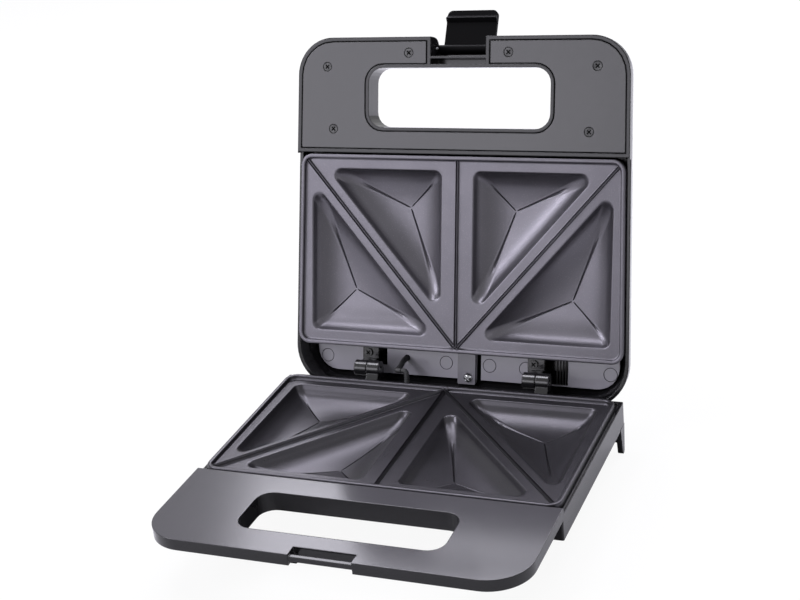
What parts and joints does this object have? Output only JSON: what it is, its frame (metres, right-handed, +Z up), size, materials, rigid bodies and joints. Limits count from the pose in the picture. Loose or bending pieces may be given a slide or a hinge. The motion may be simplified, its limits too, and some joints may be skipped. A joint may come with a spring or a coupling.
{
  "type": "sandwich toaster",
  "caption": "Black countertop sandwich toaster, standing open: hinged lid, ridged non-stick plates with triangular bread pockets, slotted carrying handles and a swing latch.",
  "frame": {"origin": "on the table, under the middle of the open toaster's outline", "axes": "+X to the right seen from the handles, +Y from the handles towards the hinge, +Z up"},
  "size_m": [0.2336, 0.3218, 0.2608],
  "materials": {
    "shell_black": "smooth glossy black moulding",
    "cover_black": "black moulding with a soft sheen",
    "panel_grey": "mid grey moulding, glossy",
    "inner_black": "dull black heat-resistant moulding",
    "nonstick": "satin non-stick coat on cast aluminium",
    "tube_steel": "dulled heating tube",
    "bead_ceramic": "plain ceramic",
    "shield_sheet": "bright mill-finish sheet",
    "zinc_screw": "zinc-plated steel",
    "dark_screw": "blackened steel",
    "bright_steel": "polished steel",
    "foot_rubber": "soft black rubber",
    "terminal_white": "white terminal plastic",
    "wire_red": "red wire insulation",
    "sleeve_black": "black fibre sleeve",
    "control_cream": "cream ceramic body",
    "lens_red": "clear red lens",
    "lens_green": "clear green lens"
  },
  "bodies": {
    "base": {"base_housing": "shell_black", "base_handle_cover": "cover_black", "base_handle_screws": "zinc_screw", "base_bottom_cover": "inner_black", "base_plate": "nonstick", "base_heater": "tube_steel", "base_heater_beads": "bead_ceramic", "base_heat_shield": "shield_sheet", "base_plate_screws": "zinc_screw", "front_feet": "foot_rubber", "terminal_block": "terminal_white", "base_wires": "wire_red", "cord_gland": "inner_black", "base_hinge_left": "inner_black", "base_hinge_right": "inner_black", "hinge_pin_left": "bright_steel", "hinge_pin_right": "bright_steel", "base_wire_sleeve": "sleeve_black"},
    "lid": {"lid_shell": "shell_black", "lid_handle_cover": "cover_black", "lid_handle_screws": "dark_screw", "lid_frame": "panel_grey", "lid_frame_screws": "zinc_screw", "lid_plate": "nonstick", "lid_heater": "tube_steel", "lid_heater_beads": "bead_ceramic", "lid_heat_shield": "shield_sheet", "lid_plate_screws": "zinc_screw", "lid_hinge_left": "inner_black", "lid_hinge_right": "inner_black", "lid_hinge_screws": "dark_screw", "rear_strap": "panel_grey", "rear_strap_screw": "bright_steel", "thermostat": "control_cream", "thermal_fuse": "control_cream", "power_lamp": "lens_red", "ready_lamp": "lens_green", "lid_wires": "wire_red", "lid_wire_sleeve": "sleeve_black", "latch_pin": "bright_steel"},
    "latch": {"latch_clip": "inner_black"}
  },
  "joints": [
    {"name": "lid_hinge", "type": "hinge", "parent": "base", "child": "lid", "pos_m": [0, 0.0609, 0.03925], "axis": [1, 0, 0], "range_deg": [0, 106.5]},
    {"name": "latch_hinge", "type": "hinge", "parent": "lid", "child": "latch", "pos_m": [0, 0.13565, 0.24056], "axis": [1, 0, 0], "range_deg": [0, 107]}
  ]
}
